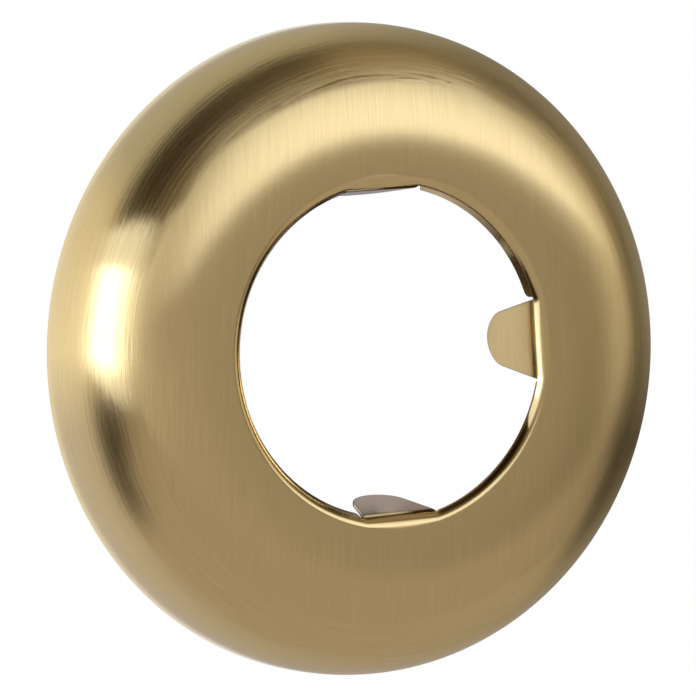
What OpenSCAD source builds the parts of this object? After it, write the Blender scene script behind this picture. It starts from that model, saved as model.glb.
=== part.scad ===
// Pipe rosette: a domed brass cover ring that hides the hole where a pipe enters a wall.
// It is pressed from one sheet. The rim stands on the wall, the dome rises to the crown, and the
// sheet turns back through a tight lip into a shallow collar that leans in towards the pipe.
// Slits part the collar into plain strips and longer spring tongues. Each tongue is bent in by
// its own angle to grip the pipe, and pulls its stretch of the lip straight.
// The axis is Z, the wall is at z = 0, and angles count from +X.

/* [Dome] */
// Outside diameter at the rim
rosette_d = 70; // [64:1:90]
// Height of the crown above the wall
rosette_h = 11.6; // [10:0.2:15]
// Height of the straight skirt at the rim
skirt_h = 0.3; // [0.1:0.1:1.5]
// Fullness of the dome: 2 is an ellipse, more gives a flatter face and a squarer shoulder
dome_power = 3; // [2:0.1:3.6]
// Thickness of the sheet
sheet_t = 0.5; // [0.4:0.05:0.8]

/* [Lip and collar] */
// Outside diameter of the pipe that passes through
pipe_d = 32; // [28:1:36]
// Clearance all round between the pipe and the narrow end of the collar
pipe_gap = 1.4; // [0.8:0.1:2.5]
// Outside radius of the lip's bend
lip_r = 1.25; // [1:0.05:2]
// Length of a collar strip down its slope
strip_l = 1; // [0.8:0.1:2.4]
// Lean of the collar strips in from the axis, in degrees
collar_lean = 18.5; // [8:0.5:30]

/* [Tongues] */
// Direction of the first tongue, in degrees
first_tongue = 3.5; // [0:0.5:44]
// Width of a tongue between its slits
tongue_w = 8.6; // [7:0.1:10]
// Width of a tongue where its round end begins
tongue_tip_w = 6.2; // [4:0.1:7]
// Length of a tongue along the sheet, from the crown to its tip
tongue_run = 8.8; // [7.5:0.1:10]
// Bend of the right tongue in from the axis, in degrees
right_bend = 15; // [0:1:45]
// Bend of the top tongue
top_bend = 6; // [0:1:45]
// Bend of the left tongue
left_bend = 12; // [0:1:45]
// Bend of the bottom tongue
bottom_bend = 12; // [0:1:45]

/* [Slits] */
// Width of a slit at its root
slit_w = 0.2; // [0.1:0.05:0.4]
// Extra opening of a slit at its clockwise mouth
slit_flare = 0.8; // [0:0.1:1]
// Corner radius of a strip at its anticlockwise slit
strip_corner_r = 0.6; // [0.2:0.1:0.7]

/* [Hidden] */
$fn = 96;

// Steps along the dome, round the lip, round a strip's corner and round a tongue's end
dome_steps = 30;
lip_steps = 12;
corner_steps = 6;
tip_steps = 24;
// How far a cutting shape runs past the sheet
past = 1;
// How far below a strip its corner's arc ends, so that it crosses the strip's edge at an angle
corner_drop = 0.03;
// The tongue's start under the crown, deep enough to merge cleanly with the dome
merge_depth = 0.02;
// The part of a straight chord's rise that a tongue pulls out of the lip
pull_share = 0.95;

tongue_bends = [right_bend, top_bend, left_bend, bottom_bend];
tongue_pitch = 360 / len(tongue_bends);

// Radii and heights on the show side of the sheet
rim_r = rosette_d / 2;
collar_end_r = pipe_d / 2 + pipe_gap;
collar_root_r = collar_end_r + strip_l * sin(collar_lean);
crown_r = collar_root_r + lip_r * cos(collar_lean);
lip_centre_z = rosette_h - lip_r;
collar_root_z = lip_centre_z + lip_r * sin(collar_lean);
collar_end_z = collar_root_z - strip_l * cos(collar_lean);
strip_low_z = collar_end_z - sheet_t * sin(collar_lean);
dome_run = rim_r - crown_r;
dome_rise = rosette_h - skirt_h;
tongue_chord_r = sqrt(pow(collar_root_r, 2) - pow(tongue_w / 2, 2));
lip_pull = pull_share * (collar_root_r - tongue_chord_r);
// Enough to clear the whole lip from any point of it
lip_span = 3 * lip_r + past;

// A quarter of a superellipse from the skirt at 0 degrees to the crown at 90
function dome_point(a) =
    [crown_r + dome_run * pow(cos(a), 2 / dome_power),
     skirt_h + dome_rise * pow(sin(a), 2 / dome_power)];

// The outward direction of that curve, from its gradient
function dome_normal(a) =
    let (e = 2 - 2 / dome_power,
         g = [pow(cos(a), e) / dome_run, pow(sin(a), e) / dome_rise])
    g / norm(g);

// The lip's bend, from the crown at 0 degrees down into the hole
function lip_point(a, radius) = [crown_r - radius * sin(a), lip_centre_z + radius * cos(a)];

// Where a run of sheet at an angle to the axis ends, from the point where the bend leaves it
function sheet_end(start, lean, run) = start - run * [sin(lean), cos(lean)];

function arc(centre, radius, from, to, steps) =
    [for (i = [0 : steps])
        let (a = from + (to - from) * i / steps)
        centre + radius * [cos(a), sin(a)]];

// Half section of the pressed ring: show side from rim to collar, then the back of the sheet
function ring_section() =
    let (lip_sweep = 90 - collar_lean,
         dome_angles = [for (i = [0 : dome_steps]) 90 * i / dome_steps],
         lip_angles = [for (i = [1 : lip_steps]) lip_sweep * i / lip_steps],
         show = concat(
             [[rim_r, 0]],
             [for (a = dome_angles) dome_point(a)],
             [for (a = lip_angles) lip_point(a, lip_r)],
             [[collar_end_r, collar_end_z]]),
         back = concat(
             [[rim_r - sheet_t, 0]],
             [for (a = dome_angles) dome_point(a) - sheet_t * dome_normal(a)],
             [for (a = lip_angles) lip_point(a, lip_r - sheet_t)],
             [sheet_end(lip_point(lip_sweep, lip_r - sheet_t), collar_lean, strip_l)]))
    concat(show, [for (i = [len(back) - 1 : -1 : 0]) back[i]]);

module pressed_ring() {
    rotate_extrude() polygon(ring_section());
}

// What is cut from the collar for one tongue, as seen from the axis: across, then up. It runs a
// slit's width into the lip, past where the strips and the tongue leave the bend
module slit_outline(bend) {
    slit_side = tongue_w / 2 + slit_w;
    slit_top_z = max(collar_root_z, lip_centre_z + lip_r * sin(bend)) + slit_w;
    opening_rate = slit_flare / (slit_top_z - collar_end_z);
    below = collar_end_z - past;
    corner = [slit_side + strip_corner_r, strip_low_z - corner_drop + strip_corner_r];
    polygon(concat(
        [[slit_side, slit_top_z]],
        arc(corner, strip_corner_r, 180, 270, corner_steps),
        [[corner[0], below],
         [-slit_side - slit_flare - past * opening_rate, below],
         [-slit_side, slit_top_z]]));
}

// The cut runs outwards through the collar and the lip's back, and stops under the crown
module slit_cut(bend) {
    reach = tongue_w / 2 + slit_w + slit_flare + strip_corner_r;
    inside_r = sqrt(pow(collar_end_r, 2) - pow(reach, 2)) - past;
    rotate([90, 0, 90])
        translate([0, 0, inside_r])
        linear_extrude(crown_r - inside_r)
        slit_outline(bend);
}

// Section of a tongue in the plane of axis and radius: under the crown, round the lip, then flat
module tongue_section(bend, run) {
    sweep = 90 - bend;
    shift = [-lip_pull, -merge_depth];
    angles = [for (i = [0 : lip_steps]) sweep * i / lip_steps];
    show = [for (a = angles) lip_point(a, lip_r) + shift];
    back = [for (a = angles) lip_point(a, lip_r - sheet_t) + shift];
    polygon(concat(
        [[crown_r, rosette_h - merge_depth]],
        show,
        [sheet_end(show[lip_steps], bend, run)],
        [sheet_end(back[lip_steps], bend, run)],
        [for (i = [lip_steps : -1 : 0]) back[i]],
        [[crown_r, rosette_h - sheet_t - merge_depth]]));
}

// A tongue laid flat, from its bend at 0 to its tip: sides that start to taper a slit's width
// past the bend, and a round end
module tongue_outline(run) {
    tip_r = tongue_tip_w / 2;
    half = tongue_w / 2;
    polygon(concat(
        [[half, -lip_span], [half, slit_w]],
        arc([0, run - tip_r], tip_r, 0, 180, tip_steps),
        [[-half, slit_w], [-half, -lip_span]]));
}

// One tongue: its section carried across the width, then trimmed square to its flat
module tongue(bend) {
    sweep = 90 - bend;
    run = tongue_run - lip_r * sweep * PI / 180;
    bend_end = lip_point(sweep, lip_r) + [-lip_pull, -merge_depth];
    intersection() {
        rotate([90, 0, 0])
            linear_extrude(tongue_w + 2 * past, center = true)
            tongue_section(bend, run);
        translate([bend_end[0], 0, bend_end[1]])
            rotate([0, bend + 90, 0])
            rotate([0, 0, -90])
            linear_extrude(2 * lip_span, center = true)
            tongue_outline(run);
    }
}

module rosette_shell() {
    color("#b8965a")
    difference() {
        pressed_ring();
        for (i = [0 : len(tongue_bends) - 1])
            rotate(first_tongue + i * tongue_pitch)
            slit_cut(tongue_bends[i]);
    }
    color("#b8965a")
    for (i = [0 : len(tongue_bends) - 1])
        rotate(first_tongue + i * tongue_pitch)
        tongue(tongue_bends[i]);
}

rosette_shell();
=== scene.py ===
"""Pipe rosette: a cover ring pressed from one brass sheet, brushed and lacquered, on a studio floor.

Shapes are worked out in millimetres and put into the meshes in metres.
"""
import math

import bpy
import numpy as np
from mathutils import Matrix, Vector


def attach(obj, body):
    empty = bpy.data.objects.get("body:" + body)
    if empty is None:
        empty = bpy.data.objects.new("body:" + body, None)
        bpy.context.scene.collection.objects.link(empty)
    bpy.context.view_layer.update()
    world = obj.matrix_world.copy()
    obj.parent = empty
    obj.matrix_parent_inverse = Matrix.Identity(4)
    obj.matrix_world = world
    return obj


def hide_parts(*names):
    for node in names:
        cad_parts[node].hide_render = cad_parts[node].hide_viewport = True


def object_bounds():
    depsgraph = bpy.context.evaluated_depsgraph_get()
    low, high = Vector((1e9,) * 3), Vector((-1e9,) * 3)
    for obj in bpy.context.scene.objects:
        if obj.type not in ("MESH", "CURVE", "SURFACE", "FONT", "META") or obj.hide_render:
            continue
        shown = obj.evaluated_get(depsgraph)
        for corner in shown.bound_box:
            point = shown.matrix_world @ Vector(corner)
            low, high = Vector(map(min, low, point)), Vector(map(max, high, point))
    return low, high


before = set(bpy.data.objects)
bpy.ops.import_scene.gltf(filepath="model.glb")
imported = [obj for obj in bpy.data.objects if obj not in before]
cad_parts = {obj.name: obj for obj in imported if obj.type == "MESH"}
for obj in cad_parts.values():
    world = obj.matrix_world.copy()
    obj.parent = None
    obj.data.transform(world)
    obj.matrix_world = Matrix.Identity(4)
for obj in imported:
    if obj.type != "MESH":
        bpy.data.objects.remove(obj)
CAD_LOW, CAD_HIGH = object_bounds()

MM = 0.001

# The dome and the lip, in millimetres, as in the part's source. The dome's power makes it fuller
# than an ellipse, which is 2
RIM_R = CAD_HIGH.x / MM
CROWN_Z = CAD_HIGH.z / MM
SKIRT_H = 0.3
DOME_POWER = 3.0
SHEET_T = 0.5
LIP_R = 1.25
# The crown's radius follows from the pipe, the gap round it and a plain collar that leans in
PIPE_R = 16.0
PIPE_GAP = 1.4
COLLAR_L = 1.0
COLLAR_LEAN = math.radians(18.5)
CROWN_R = PIPE_R + PIPE_GAP + COLLAR_L * math.sin(COLLAR_LEAN) + LIP_R * math.cos(COLLAR_LEAN)

# The collar is fitted closer to the photo than in the part's source: the lip's bend ends at its
# root at this lean
ROOT_LEAN = math.radians(32.0)
LIP_SWEEP = math.pi / 2 - ROOT_LEAN
LIP_CENTRE_Z = CROWN_Z - LIP_R
ROOT_R = CROWN_R - LIP_R * math.cos(ROOT_LEAN)
ROOT_Z = LIP_CENTRE_Z + LIP_R * math.sin(ROOT_LEAN)

# The collar's quarters, anticlockwise from the right: a tongue's direction, its bend in from the
# axis and how far it pulls the lip straight, then the length and the lean of the strip after it.
# The lip is round at the left tongue, and of the last strip only a thin line shows
QUARTERS = [
    (3.5, 15.0, 1.0, 1.0, 24.0),
    (93.5, 5.0, 1.0, 1.0, 24.0),
    (183.5, 12.0, 0.0, 1.0, 24.0),
    (273.5, 12.0, 1.0, 0.24, 20.0),
]
# A tongue's half width at its root, the radius of its end, its length along the sheet from the
# crown, and the length over which it turns to its own bend
TONGUE_HALF = 4.3
TONGUE_TIP_R = 3.1
TONGUE_RUN = 8.8
TONGUE_TURN = 0.8
# How much of a tongue's pull reaches the crown, and how far over the dome that fades out
PULL_AT_CROWN = 0.35
PULL_FADE = 2.5
# A slit's width at its root, how much it opens for each millimetre down, and the strip's corner
SLIT_W = 0.2
SLIT_FLARE = 0.35
STRIP_CORNER_R = 0.6

# Rounding of the sheet's cut edges, and the angles at which it is divided. The flat sides end
# where it begins. At a sharp corner it reaches out by no more than its radius over MITRE_FLOOR
EDGE_R = 0.08
EDGE_ANGLES = np.radians([30.0, 60.0, 90.0])[:, None, None]
MITRE_FLOOR = 0.6
FLAT_HALF = TONGUE_HALF - EDGE_R
FLAT_TIP_R = TONGUE_TIP_R - EDGE_R
SLIT_SIDE = TONGUE_HALF + SLIT_W + EDGE_R

# How finely the sheet is divided, and the points on curves that are measured along
DOME_ROWS = 60
LIP_ROWS = 14
STRIP_ROWS = 6
TONGUE_ROWS = 18
TONGUE_COLUMNS = 20
STRIP_COLUMNS = 64
DENSE = 4000

# Brass in the grooves of the brush lines and between them, and the lacquer over it
BRASS_LOW = "#DCC48A"
BRASS_HIGH = "#EED69F"
FACE_ROUGHNESS = 0.2
SHOULDER_ROUGHNESS = 0.21
LIP_ROUGHNESS = 0.12
LACQUER = 0.4
LACQUER_ROUGHNESS = 0.12
# Brush lines in millimetres: straight ones up and down the face, and arcs round the shoulder and
# the lip. The finest real ones are too fine for a picture to show
LINE_GAP, LINE_LENGTH, LINE_DEPTH = 0.22, 6.0, 0.003
ARC_GAP, ARC_LENGTH, ARC_DEPTH = 0.45, 7.0, 0.03
# The radius where lines give way to arcs, over a border of this width that the arcs' own pattern
# makes ragged, the radii between which the arcs grow to their full depth, and the border inside
# the crown
BRUSHED_R = 29.2
BORDER = 1.0
RAGGED = 3.0
ARCS_BEGIN, ARCS_FULL = 28.9, 30.4
LIP_BORDER = 0.4

# The floor's half width, and the share of its look that is plain white. The rest takes shadows
FLOOR_HALF = 3000.0
FLOOR_WHITE = 0.99

# Studio walls by height, and what stands in front of them, each over the ones before: degrees
# across and up, radius of its core, radius of its soft edge, colour
WALL_LOW = "#B2A9A1"
WALL_HIGH = "#6A5C46"
WALL_PATCHES = [
    (-30, 55, 17, 42, "#1E1204"),   # wide flag above the left lamp
    (0, 72, 6, 24, "#2C1E0C"),      # flag high above the middle
    (33, 58, 7, 18, "#988A72"),     # card above the top lamp
    (4, 5, 3, 12, "#968C82"),       # dull spot straight ahead
    (38, 86, 6, 18, "#2A1C0C"),     # flag overhead
    (92, 13, 24, 42, "#2C2010"),    # dark room on the right
    (58, 20, 6, 16, "#B8AE9C"),     # card right of the top lamp
    (84, -14, 12, 27, "#040200"),   # black flag low on the right
    (66, -9, 4, 14, "#2A2216"),     # its near end
    (41, -2, 5, 13, "#120E06"),     # small flag below the top lamp
    (-44, -19, 4, 14, "#1C160C"),   # small flag below the left lamp
    (-60, -36, 10, 26, "#161006"),  # flag low on the left
    (56, 4, 7, 17, "#E0D8CA"),      # pale card between the flags on the right
    (-20, 6, 4, 17, "#BCB4A8"),     # pale card beside the left lamp
]

# Glowing cards on the floor that only show in the brass: a painted reflection of the floor's light
# and shade round the rosette. Round the rosette they run into each other, with shades by their
# direction from it in degrees, white towards the left lamp and darkest on the right
RING_CARD_Z = 0.2
RING_CARD_R = 1500.0
RING_CARD_GAP = 0.5
FLOOR_REFLECTION_SHADES = [
    (-180, "#FFFCF6"), (-165, "#D8D4DA"), (-110, "#C0BCC0"), (-60, "#B0AAA8"),
    (-40, "#9A958C"), (-15, "#524D44"), (5, "#948F86"), (60, "#8A867E"),
    (95, "#BAB7B0"), (140, "#C4C2BC"), (152, "#ECE6DA"), (180, "#FFFCF6"),
]
RING_DEGREES = np.linspace(-180, 180, 361)
# Under the dome and in the hole they are dark: painted shade where the floor lies in the rosette's
# shadow. There are paler spots in the hole, painted reflections of lit floor: place, radius,
# colour. A spot fades out over its edge
PAINTED_SHADE_Z = 0.1
DOME_CARD_R = RIM_R - 1.0
HOLE_CARD_R = ROOT_R + 1.0
HOLE_CARD_MIDDLE = 0.2
HOLE_CARD_ROWS = 40
PAINTED_HOLE_SHADE = "#2A1A0C"
PAINTED_REFLECTION_SPOTS = [
    (4.6, -1.0, 5.6, "#DCD8DC"),
    (-6.0, -1.6, 6.0, "#B0A488"),
    (3.0, -13.6, 2.2, "#A8A4B4"),
    (6.8, -12.4, 2.8, "#A8A4B4"),
    (10.2, -12.4, 2.6, "#A8A4B4"),
    (9.0, -8.8, 2.6, "#8E8A92"),
    (-3.6, -16.0, 1.5, "#FFFFFF"),
    (4.5, 16.0, 5.0, "#9A98A4"),
]
SPOT_EDGE = 0.8

# Daylight lamps, a little cooler than the walls
LAMP_COLOUR = (0.94, 1.0, 1.13)
# Watts for each square metre of a lamp's face that make it as bright as a white of strength 1
WATTS_PER_LEVEL = math.pi

# The camera as fitted to the photo: its turn to the left and upwards in radians, its distance and
# its place to the right and up in millimetres, then its sensor and lens, and in metres the
# nearest it sees
CAMERA_YAW, CAMERA_PITCH = 0.466, 0.0352
CAMERA_DISTANCE, CAMERA_RIGHT, CAMERA_UP = 600.0, 0.2964, 0.0368
CAMERA_SENSOR, CAMERA_LENS = 36.0, 288.69
CAMERA_NEAR = 0.01


def smooth(x):
    """0 below 0 and 1 above 1, with a level start and end between them."""
    x = np.clip(x, 0.0, 1.0)
    return x * x * (3.0 - 2.0 * x)


def unit(vectors):
    """The vectors at length 1."""
    return vectors / np.linalg.norm(vectors, axis=-1, keepdims=True)


def turned(x, y, z, azimuth):
    """Points turned about the axis to a direction in degrees, as rows by columns by 3."""
    a = math.radians(azimuth)
    x, y = x * math.cos(a) - y * math.sin(a), x * math.sin(a) + y * math.cos(a)
    return np.stack(np.broadcast_arrays(x, y, z), -1)


def numbered(patch, first):
    """The numbers of a patch's points by row and column, counted on from the first."""
    return first + np.arange(patch.shape[0] * patch.shape[1]).reshape(patch.shape[:2])


def closed(index):
    """A grid of point numbers that runs all round, with its first column again at its end."""
    return np.hstack([index, index[:, :1]])


def quads(index):
    """Four-cornered faces between the rows and columns of a grid of point numbers, outward for
    rows that run inwards over the dome and columns that run anticlockwise."""
    corners = [index[:-1, :-1], index[:-1, 1:], index[1:, 1:], index[1:, :-1]]
    return np.stack(corners, -1).reshape(-1, 4)


def added_up(count, faces, values):
    """For each point, the sum of its faces' values."""
    total = np.zeros((count, values.shape[1]))
    for corner in range(4):
        np.add.at(total, faces[:, corner], values)
    return total


def dome_profile():
    """Radius and height from the rim to the crown: a straight skirt, then a quarter of a
    superellipse, taken at even steps of its own length."""
    a = np.linspace(0.0, math.pi / 2, DENSE)
    radius = CROWN_R + (RIM_R - CROWN_R) * np.cos(a) ** (2 / DOME_POWER)
    height = SKIRT_H + (CROWN_Z - SKIRT_H) * np.sin(a) ** (2 / DOME_POWER)
    along = np.concatenate([[0.0], np.cumsum(np.hypot(np.diff(radius), np.diff(height)))])
    even = np.linspace(0.0, along[-1], DOME_ROWS)
    radius, height = np.interp(even, along, radius), np.interp(even, along, height)
    return np.append(RIM_R, radius), np.append(EDGE_R, height)


def lip_profile():
    """Radius and height round the lip's arc, from just past the crown to the collar's root."""
    a = np.linspace(0.0, LIP_SWEEP, LIP_ROWS + 1)[1:]
    return CROWN_R - LIP_R * np.sin(a), LIP_CENTRE_Z + LIP_R * np.cos(a)


def body_rows(azimuth, pull):
    """One quarter of the ring from a tongue to the next, from the rim to the collar's root.

    Columns run across the tongue at even distances from its middle, then round the plain stretch
    at even angles. In the tongue's width the lip is drawn in to the straight chord between its
    slits by the tongue's pull, more and more towards the root."""
    radius, height = (np.concatenate(pair)[:, None] for pair in zip(dome_profile(), lip_profile()))
    fan = np.maximum(radius / CROWN_R, 1.0)
    across = FLAT_HALF * fan * np.linspace(-1.0, 1.0, TONGUE_COLUMNS + 1)
    slit = np.arcsin(SLIT_SIDE * fan / radius)
    plain = slit + (math.pi / 2 - 2 * slit) * np.linspace(0.0, 1.0, STRIP_COLUMNS + 1)
    beyond = radius - CROWN_R
    into_lip = np.arccos(np.clip((height - LIP_CENTRE_Z) / LIP_R, -1.0, 1.0)) / LIP_SWEEP
    share = pull * np.where(beyond > 0, PULL_AT_CROWN * smooth(1.0 - beyond / PULL_FADE),
                            PULL_AT_CROWN + (1.0 - PULL_AT_CROWN) * into_lip)
    bow = np.sqrt(radius**2 - across**2)
    chord = np.sqrt(radius**2 - (TONGUE_HALF * fan) ** 2)
    x = np.hstack([bow + share * (chord - bow), radius * np.cos(plain)])
    y = np.hstack([across, radius * np.sin(plain)])
    return turned(x, y, height, azimuth)


def bent_run(bend, run):
    """Drop in radius and in height along a tongue: its heading turns evenly from the lip's end to
    its own bend, and is summed up in small steps."""
    along = np.linspace(0.0, run, DENSE)
    heading = ROOT_LEAN + (bend - ROOT_LEAN) * np.clip(along / TONGUE_TURN, 0.0, 1.0)
    step = run / (DENSE - 1)
    return along, np.cumsum(np.sin(heading)) * step, np.cumsum(np.cos(heading)) * step


def tongue_rows(azimuth, bend, pull):
    """One tongue below the collar's root, on the chord as far as it pulls the lip: each column
    runs from an even place across the root to an even angle round the tongue's end, which its
    straight sides run into."""
    flat_end = TONGUE_RUN - LIP_R * LIP_SWEEP
    middle = flat_end - TONGUE_TIP_R
    side_angle = (math.atan2(middle, FLAT_HALF)
                  + math.asin(FLAT_TIP_R / math.hypot(middle, FLAT_HALF)))
    along, dropped_r, dropped_z = bent_run(math.radians(bend), flat_end)
    c = np.linspace(-1.0, 1.0, TONGUE_COLUMNS + 1)[None, :]
    t = np.linspace(0.0, 1.0, TONGUE_ROWS + 1)[1:, None]
    end_angle = c * side_angle
    across = (1.0 - t) * FLAT_HALF * c + t * FLAT_TIP_R * np.sin(end_angle)
    down = t * (middle + FLAT_TIP_R * np.cos(end_angle))
    chord, bow = math.sqrt(ROOT_R**2 - TONGUE_HALF**2), np.sqrt(ROOT_R**2 - across**2)
    x = bow + pull * (chord - bow) - np.interp(down, along, dropped_r)
    return turned(x, across, ROOT_Z - np.interp(down, along, dropped_z), azimuth)


def strip_rows(azimuth, length, lean):
    """One collar strip below the root: a cone between two slits. Its first end is round at the
    corner, and its far end slants back by the slit's flare."""
    lean = math.radians(lean)
    flat_length = length - EDGE_R
    down = flat_length * np.linspace(0.0, 1.0, STRIP_ROWS + 1)[1:, None]
    radius = ROOT_R - down * math.sin(lean)
    corner_r = min(STRIP_CORNER_R, flat_length / 2)
    corner = np.clip(down - (flat_length - corner_r), 0.0, corner_r)
    rounded = corner_r - np.sqrt(corner_r**2 - corner**2)
    start = np.arcsin((SLIT_SIDE + rounded) / radius)
    stop = math.pi / 2 - np.arcsin((SLIT_SIDE + SLIT_FLARE * down) / radius)
    angle = start + (stop - start) * np.linspace(0.0, 1.0, STRIP_COLUMNS + 1)[None, :]
    x, y = radius * np.cos(angle), radius * np.sin(angle)
    return turned(x, y, ROOT_Z - down * math.cos(lean), azimuth)


def show_side():
    """The show side of the whole pressing as points and faces: the closed ring from rim to root,
    and below it four tongues and four strips that share the root's points. Also the two loops of
    points along its free edges, at the rim and round the collar."""
    body = np.concatenate([body_rows(azimuth, pull) for azimuth, _, pull, *_ in QUARTERS], axis=1)
    index = numbered(body, 0)
    points, faces, collar_edge = [body.reshape(-1, 3)], [quads(closed(index))], []
    used = index.size
    for quarter, root in zip(QUARTERS, np.split(index[-1], len(QUARTERS))):
        azimuth, bend, pull, length, lean = quarter
        tongue, strip = tongue_rows(azimuth, bend, pull), strip_rows(azimuth, length, lean)
        for patch, top in ((tongue, root[:TONGUE_COLUMNS + 1]), (strip, root[TONGUE_COLUMNS + 1:])):
            own = numbered(patch, used)
            points.append(patch.reshape(-1, 3))
            faces.append(quads(np.vstack([top, own])))
            collar_edge += [top[:1], own[:-1, 0], own[-1], own[-2::-1, -1], top[-1:]]
            used += own.size
    return np.concatenate(points), np.concatenate(faces), [index[0], np.concatenate(collar_edge)]


def way_out(edge, normal, inwards):
    """At each point of a loop along a free edge, the way out of the sheet in its own plane, longer
    at a corner so that the edge keeps its distance. Also whether the sheet lies to the left."""
    before, after = unit(edge - np.roll(edge, 1, 0)), unit(np.roll(edge, -1, 0) - edge)
    side_before, side_after = unit(np.cross(before, normal)), unit(np.cross(after, normal))
    out = unit(side_before + side_after)
    out = out / np.maximum((out * side_before).sum(-1, keepdims=True), MITRE_FLOOR)
    on_left = (out * inwards).sum() < 0
    return out if on_left else -out, on_left


def rounded_edge(show, back, normal, out):
    """Rows of points and their normals from the show side round a free edge to the back, with a
    rounded corner at each."""
    aside, ahead = out * np.sin(EDGE_ANGLES), normal * (1.0 - np.cos(EDGE_ANGLES))
    rows = [show + EDGE_R * (aside - ahead), (back + EDGE_R * (aside + ahead))[::-1]]
    aside, ahead = unit(out) * np.sin(EDGE_ANGLES), normal * np.cos(EDGE_ANGLES)
    return np.concatenate(rows), unit(np.concatenate([aside + ahead, (aside - ahead)[::-1]]))


def pressed_sheet():
    """The whole sheet as points, their normals and faces: the show side, the back at the sheet's
    thickness behind it, and between them edges whose corners are rounded."""
    show, show_faces, loops = show_side()
    count = len(show)
    corners = show[show_faces]
    slant = np.cross(corners[:, 2] - corners[:, 0], corners[:, 3] - corners[:, 1])
    normal = unit(added_up(count, show_faces, slant))
    middles = added_up(count, show_faces, np.insert(corners.mean(axis=1), 3, 1.0, axis=1))
    inwards = middles[:, :3] / middles[:, 3:] - show
    back = show - SHEET_T * normal
    points, normals = [show, back], [normal, -normal]
    faces = [show_faces, show_faces[:, ::-1] + count]
    used = 2 * count
    for loop in loops:
        out, on_left = way_out(show[loop], normal[loop], inwards[loop])
        rows, row_normals = rounded_edge(show[loop], back[loop], normal[loop], out)
        own = numbered(rows, used)
        strip = quads(closed(np.vstack([loop, own, loop + count])))
        faces.append(strip[:, ::-1] if on_left else strip)
        points.append(rows.reshape(-1, 3))
        normals.append(row_normals.reshape(-1, 3))
        used += own.size
    return np.concatenate(points), np.concatenate(normals), np.concatenate(faces)


def mesh_piece(name, points, faces, material):
    """A smooth-shaded object at the origin from points in millimetres and four-cornered faces."""
    mesh = bpy.data.meshes.new(name)
    mesh.from_pydata((points * MM).tolist(), [], faces.tolist())
    mesh.polygons.foreach_set("use_smooth", np.ones(len(faces), bool))
    mesh.materials.append(material)
    mesh.update()
    piece = bpy.data.objects.new(name, mesh)
    bpy.context.collection.objects.link(piece)
    return piece


def linear(hex_colour):
    """An sRGB hex colour as linear red, green, blue and 1."""
    channels = np.array([int(hex_colour[i:i + 2], 16) for i in (1, 3, 5)]) / 255
    low = channels <= 0.04045
    return (*np.where(low, channels / 12.92, ((channels + 0.055) / 1.055) ** 2.4), 1.0)


def add_node(tree, kind, settings=None, inputs=None):
    """Adds a shader node. Settings are its own properties, and each input is a value or a socket
    to link, by its name or number."""
    node = tree.nodes.new("ShaderNode" + kind)
    for name, value in (settings or {}).items():
        setattr(node, name, value)
    for name, value in (inputs or {}).items():
        if isinstance(value, bpy.types.NodeSocket):
            tree.links.new(value, node.inputs[name])
        else:
            node.inputs[name].default_value = value
    return node


def empty_material(name):
    """A new material and its empty node tree."""
    material = bpy.data.materials.new(name)
    material.use_nodes = True
    material.node_tree.nodes.clear()
    return material, material.node_tree


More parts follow.
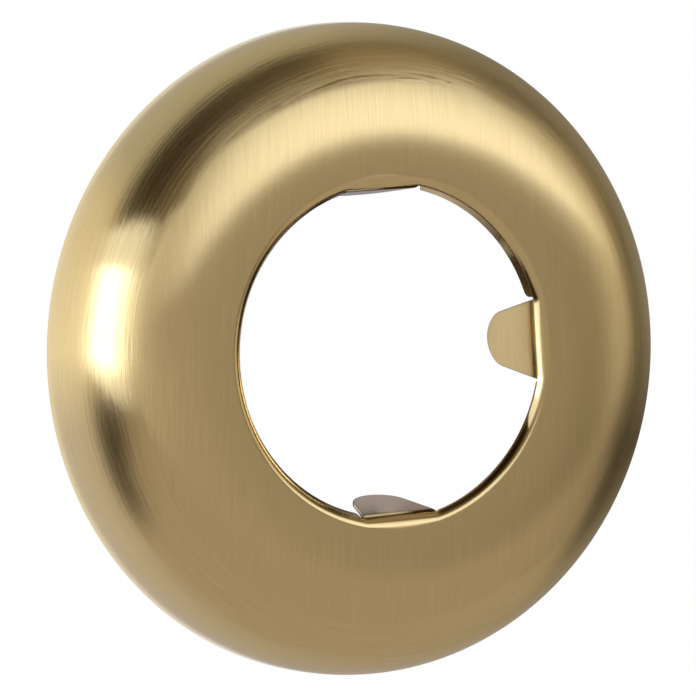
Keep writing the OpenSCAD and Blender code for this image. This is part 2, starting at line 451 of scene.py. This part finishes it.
def brushed_brass():
    """Brass sheet, brushed and lacquered: a warm yellow metal. The face was brushed in straight
    lines up and down and the shoulder round and round, so highlights are drawn out square to
    those lines and stay sharp along them. The lip is smoother and shines more."""
    material, tree = empty_material("brushed_lacquered_brass")
    place = add_node(tree, "TexCoord")
    sheet = add_node(tree, "UVMap", {"uv_map": "round_and_along_mm"})
    flat = add_node(tree, "VectorMath", {"operation": "MULTIPLY"}, {
        0: place.outputs["Object"], 1: (1 / MM, 1 / MM, 0.0)})
    radius = add_node(tree, "VectorMath", {"operation": "LENGTH"}, {0: flat.outputs[0]})

    # The two patterns of brush lines
    straight = add_node(tree, "Mapping", inputs={
        0: place.outputs["Object"], "Scale": (1 / (LINE_GAP * MM), 1 / (LINE_LENGTH * MM), 0)})
    straight_lines = add_node(tree, "TexNoise", inputs={
        "Vector": straight.outputs[0], "Scale": 1.0, "Detail": 2.0, "Roughness": 0.6})
    round_map = add_node(tree, "Mapping", inputs={
        0: sheet.outputs[0], "Scale": (1 / ARC_LENGTH, 1 / ARC_GAP, 0)})
    round_lines = add_node(tree, "TexNoise", inputs={
        "Vector": round_map.outputs[0], "Scale": 1.0, "Detail": 3.0, "Roughness": 0.6,
        "Distortion": 0.6})

    # Where each of them lies
    ragged = add_node(tree, "Math", {"operation": "MULTIPLY_ADD"}, {
        0: round_lines.outputs["Fac"], 1: RAGGED, 2: radius.outputs["Value"]})
    border = BRUSHED_R + RAGGED / 2
    outer = add_node(tree, "MapRange", inputs={
        0: ragged.outputs[0], "From Min": border - BORDER / 2, "From Max": border + BORDER / 2})
    inner = add_node(tree, "MapRange", inputs={
        0: radius.outputs["Value"], "From Min": CROWN_R, "From Max": CROWN_R - LIP_BORDER})
    rounded = add_node(tree, "Math", {"operation": "MAXIMUM"}, {
        0: outer.outputs[0], 1: inner.outputs[0]})

    # What they do to the colour, the roughness and the relief
    lines = add_node(tree, "Mix", {"data_type": "FLOAT"}, {
        0: rounded.outputs[0], 2: straight_lines.outputs["Fac"], 3: round_lines.outputs["Fac"]})
    shade = add_node(tree, "Mix", {"data_type": "RGBA"}, {
        0: lines.outputs[0], 6: linear(BRASS_LOW), 7: linear(BRASS_HIGH)})
    rough = add_node(tree, "MapRange", inputs={
        0: outer.outputs[0], "To Min": FACE_ROUGHNESS, "To Max": SHOULDER_ROUGHNESS})
    rough = add_node(tree, "Mix", {"data_type": "FLOAT"}, {
        0: inner.outputs[0], 2: rough.outputs[0], 3: LIP_ROUGHNESS})
    deep = add_node(tree, "MapRange", inputs={
        0: radius.outputs["Value"], "From Min": ARCS_BEGIN, "From Max": ARCS_FULL})
    arcs = add_node(tree, "Math", {"operation": "MULTIPLY_ADD"}, {
        0: round_lines.outputs["Fac"], 1: ARC_DEPTH * MM, 2: -0.5 * ARC_DEPTH * MM})
    arcs = add_node(tree, "Math", {"operation": "MULTIPLY"}, {
        0: arcs.outputs[0], 1: deep.outputs[0]})
    grooves = add_node(tree, "Math", {"operation": "MULTIPLY_ADD"}, {
        0: straight_lines.outputs["Fac"], 1: LINE_DEPTH * MM, 2: arcs.outputs[0]})
    bump = add_node(tree, "Bump", inputs={
        "Strength": 1.0, "Distance": 1.0, "Height": grooves.outputs[0]})

    # The way square to them: down the section for the arcs, and level for the straight lines,
    # away from the middle so that the two blend
    round_axis = add_node(tree, "Tangent", {"direction_type": "RADIAL", "axis": "Z"})
    down_section = add_node(tree, "VectorMath", {"operation": "CROSS_PRODUCT"}, {
        0: round_axis.outputs[0], 1: add_node(tree, "NewGeometry").outputs["Normal"]})
    side = add_node(tree, "SeparateXYZ", inputs={0: place.outputs["Object"]})
    side = add_node(tree, "Math", {"operation": "SIGN"}, {0: side.outputs["X"]})
    level = add_node(tree, "CombineXYZ", inputs={"X": side.outputs[0]})
    across = add_node(tree, "Mix", {"data_type": "VECTOR"}, {
        0: rounded.outputs[0], 4: level.outputs[0], 5: down_section.outputs[0]})

    shader = add_node(tree, "BsdfPrincipled", inputs={
        "Base Color": shade.outputs[2], "Metallic": 1.0, "Roughness": rough.outputs[0],
        "Anisotropic": 1.0, "Tangent": across.outputs[1], "Normal": bump.outputs[0],
        "Coat Weight": LACQUER, "Coat Roughness": LACQUER_ROUGHNESS})
    add_node(tree, "OutputMaterial", inputs={"Surface": shader.outputs[0]})
    return material


def sheet_map(mesh, points):
    """Gives each point a place on the sheet in millimetres: round the axis at the brushed radius,
    and along the section, taken as the height above the wall less the radius."""
    corner = np.empty(len(mesh.loops), np.int32)
    mesh.loops.foreach_get("vertex_index", corner)
    angle = np.arctan2(points[:, 1], points[:, 0])[corner].reshape(-1, 4)
    angle = angle + 2 * math.pi * (angle < angle.max(axis=1, keepdims=True) - math.pi)
    along = (points[:, 2] - np.hypot(points[:, 0], points[:, 1]))[corner]
    places = np.stack([angle.ravel() * BRUSHED_R, along], -1)
    layer = mesh.uv_layers.new(name="round_and_along_mm")
    layer.data.foreach_set("uv", places.ravel().astype(np.float32))


def rosette():
    """The pressed sheet with its thickness and rounded cut edges."""
    points, normals, faces = pressed_sheet()
    piece = mesh_piece("rosette", points, faces, brushed_brass())
    sheet_map(piece.data, points)
    piece.data.normals_split_custom_set_from_vertices(normals.tolist())
    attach(piece, "root")
    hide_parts("rosette_shell")


def studio_floor():
    """Seamless white paper: the camera and reflections see it near white, and it keeps some of
    the object's shadow."""
    material, tree = empty_material("white_paper_floor")
    path = add_node(tree, "LightPath")
    seen = add_node(tree, "Math", {"operation": "MAXIMUM"}, {
        0: path.outputs["Is Camera Ray"], 1: path.outputs["Is Glossy Ray"]})
    seen = add_node(tree, "Math", {"operation": "MAXIMUM"}, {
        0: seen.outputs[0], 1: path.outputs["Is Transmission Ray"]})
    white = add_node(tree, "Emission", inputs={"Color": linear("#FFFFFF"), "Strength": 1.0})
    paper = add_node(tree, "BsdfDiffuse", inputs={"Color": linear("#F4F4F4")})
    share = add_node(tree, "Math", {"operation": "MULTIPLY"}, {
        0: seen.outputs[0], 1: FLOOR_WHITE})
    both = add_node(tree, "MixShader", inputs={
        0: share.outputs[0], 1: paper.outputs[0], 2: white.outputs[0]})
    add_node(tree, "OutputMaterial", inputs={"Surface": both.outputs[0]})
    corners = FLOOR_HALF * np.array([(-1, -1, 0), (1, -1, 0), (1, 1, 0), (-1, 1, 0)])
    floor = mesh_piece("floor", corners, np.array([[0, 1, 2, 3]]), material)


def painted_reflection_card(name, rows, shades):
    """A glowing card on the floor, out of the camera's sight, which lights nothing and only shows in
    the brass: a painted reflection, of light where it is pale and of shade where it is dark. Its
    points run round in rows, inwards. It has one shade, or one for each column or each point."""
    material, tree = empty_material(name)
    shade = add_node(tree, "Attribute", {"attribute_name": "painted_reflection_shade"})
    shine = add_node(tree, "Emission", inputs={"Color": shade.outputs["Color"], "Strength": 1.0})
    add_node(tree, "OutputMaterial", inputs={"Surface": shine.outputs[0]})
    piece = mesh_piece(name, rows.reshape(-1, 3), quads(numbered(rows, 0)), material)
    layer = piece.data.color_attributes.new("painted_reflection_shade", "FLOAT_COLOR", "POINT")
    shades = np.broadcast_to(shades, (*rows.shape[:2], 4))
    layer.data.foreach_set("color", shades.astype(np.float32).ravel())
    piece.visible_camera = piece.visible_shadow = piece.visible_diffuse = False


def flat_rings(radii, height):
    """Points on flat circles about the axis, at a height, in the directions of RING_DEGREES."""
    angle, radii = np.radians(RING_DEGREES)[None, :], np.asarray(radii)[:, None]
    return turned(radii * np.cos(angle), radii * np.sin(angle), height, 0.0)


def painted_floor_reflections():
    """Glowing cards that only show in the brass: a wide ring round the rosette, which run into each
    other, as a painted reflection of the floor's light and shade; a dark one under the dome as
    painted shade; and one in the hole, painted shade with some paler spots as painted
    reflections."""
    stops = [stop for stop, _ in FLOOR_REFLECTION_SHADES]
    colours = np.array([linear(hex_colour) for _, hex_colour in FLOOR_REFLECTION_SHADES])
    shades = np.stack([np.interp(RING_DEGREES, stops, channel) for channel in colours.T], -1)
    # Round the rosette, a painted reflection of the floor's light and shade
    rows = flat_rings([RING_CARD_R, RIM_R + RING_CARD_GAP], RING_CARD_Z)
    painted_reflection_card("painted_floor_reflection_ring", rows, shades)
    # Under the dome, a dark glowing sheet: painted shade where the floor lies in the rosette's
    # shadow
    rows = flat_rings([DOME_CARD_R, HOLE_CARD_R], PAINTED_SHADE_Z)
    painted_reflection_card("painted_shade_under_dome", rows, linear(PAINTED_HOLE_SHADE))
    # In the hole, painted shade with paler spots that are painted reflections of lit floor
    rows = flat_rings(np.linspace(HOLE_CARD_R, HOLE_CARD_MIDDLE, HOLE_CARD_ROWS), PAINTED_SHADE_Z)
    shades = np.array(linear(PAINTED_HOLE_SHADE))
    for x, y, radius, hex_colour in PAINTED_REFLECTION_SPOTS:
        away = np.hypot(rows[..., :1] - x, rows[..., 1:2] - y)
        share = smooth((radius + SPOT_EDGE - away) / SPOT_EDGE)
        shades = shades + share * (np.array(linear(hex_colour)) - shades)
    painted_reflection_card("painted_shade_and_reflections_in_hole", rows, shades)


def towards(across, up):
    """The direction at some degrees to the right of +Z and some degrees above it, measured along
    great circles as on a round map of the sky."""
    away, turn = math.radians(math.hypot(across, up)), math.atan2(up, across)
    return Vector((math.sin(away) * math.cos(turn), math.sin(away) * math.sin(turn),
                   math.cos(away)))


def wall_patch(tree, colour, sky, across, up, core, edge, hex_colour):
    """A round patch of another colour on the studio wall, such as a flag or a bounce card: full
    within the core and gone at the edge, both in degrees from its middle."""
    facing = add_node(tree, "VectorMath", {"operation": "DOT_PRODUCT"}, {
        0: sky, 1: towards(across, up)})
    angle = add_node(tree, "Math", {"operation": "ARCCOSINE"}, {0: facing.outputs["Value"]})
    share = add_node(tree, "MapRange", {"interpolation_type": "SMOOTHSTEP"}, {
        0: angle.outputs[0], "From Min": math.radians(edge), "From Max": math.radians(core)})
    return add_node(tree, "Mix", {"data_type": "RGBA"}, {
        0: share.outputs[0], 6: colour, 7: linear(hex_colour)}).outputs[2]


def studio_world():
    """Grey-brown studio walls, lighter below the rosette than above it, with black flags and
    pale bounce cards round the lamps."""
    world = bpy.data.worlds.new("studio")
    bpy.context.scene.world = world
    world.use_nodes = True
    tree = world.node_tree
    tree.nodes.clear()
    sky = add_node(tree, "TexCoord").outputs["Generated"]
    height = add_node(tree, "SeparateXYZ", inputs={0: sky}).outputs["Y"]
    above = add_node(tree, "MapRange", {"interpolation_type": "SMOOTHSTEP"}, {
        0: height, "From Min": -0.1, "From Max": 0.5})
    colour = add_node(tree, "Mix", {"data_type": "RGBA"}, {
        0: above.outputs[0], 6: linear(WALL_LOW), 7: linear(WALL_HIGH)}).outputs[2]
    for patch in WALL_PATCHES:
        colour = wall_patch(tree, colour, sky, *patch)
    shine = add_node(tree, "Background", inputs={"Color": colour, "Strength": 1.0})
    add_node(tree, "OutputWorld", inputs={"Surface": shine.outputs[0]})


def softbox(name, direction, upright, distance, width, height, level):
    """An area lamp that faces the rosette from a direction, at a distance in metres. Its height
    runs along the upright direction. Its level is its brightness, where 1 is the floor's white."""
    lamp = bpy.data.lights.new(name, "AREA")
    lamp.shape = "RECTANGLE"
    lamp.size, lamp.size_y = width, height
    lamp.energy = level * width * height * WATTS_PER_LEVEL
    lamp.color = LAMP_COLOUR
    away = direction.normalized()
    side = Vector(upright).cross(away).normalized()
    turn = Matrix((side, away.cross(side), away)).transposed().to_4x4()
    holder = bpy.data.objects.new(name, lamp)
    holder.matrix_world = Matrix.Translation(away * distance) @ turn
    holder.visible_camera = False
    bpy.context.collection.objects.link(holder)


def camera():
    """A long lens, 26.7 degrees round to the rosette's left and 2 degrees above it."""
    right = Vector((math.cos(CAMERA_YAW), 0, math.sin(CAMERA_YAW)))
    up = Vector((math.sin(CAMERA_PITCH) * math.sin(CAMERA_YAW), math.cos(CAMERA_PITCH),
                 -math.sin(CAMERA_PITCH) * math.cos(CAMERA_YAW)))
    back = right.cross(up)
    place = (CAMERA_DISTANCE * back + CAMERA_RIGHT * right + CAMERA_UP * up) * MM
    turn = Matrix((right, up, back)).transposed().to_4x4()
    lens = bpy.data.cameras.new("camera")
    lens.sensor_width, lens.lens = CAMERA_SENSOR, CAMERA_LENS
    lens.clip_start = CAMERA_NEAR
    holder = bpy.data.objects.new("camera", lens)
    holder.matrix_world = Matrix.Translation(place) @ turn
    bpy.context.collection.objects.link(holder)
    bpy.context.scene.camera = holder


rosette()
studio_floor()
studio_world()
painted_floor_reflections()
softbox("top_softbox", towards(26, 19.5), upright=(-0.2, 1, 0), distance=1.0,
        width=0.76, height=0.46, level=1.06)
softbox("top_softbox_heart", towards(26, 15), upright=(-0.15, 1, 0), distance=0.9,
        width=0.4, height=0.24, level=0.14)
softbox("left_softbox", towards(-56, 12), upright=(0.439, -0.109, 0.892), distance=0.8,
        width=0.6, height=0.94, level=1.12)
softbox("left_softbox_heart", towards(-60, 9), upright=(0.439, -0.109, 0.892), distance=0.78,
        width=0.34, height=0.52, level=2.4)
camera()
bpy.context.scene.view_settings.view_transform = "Standard"
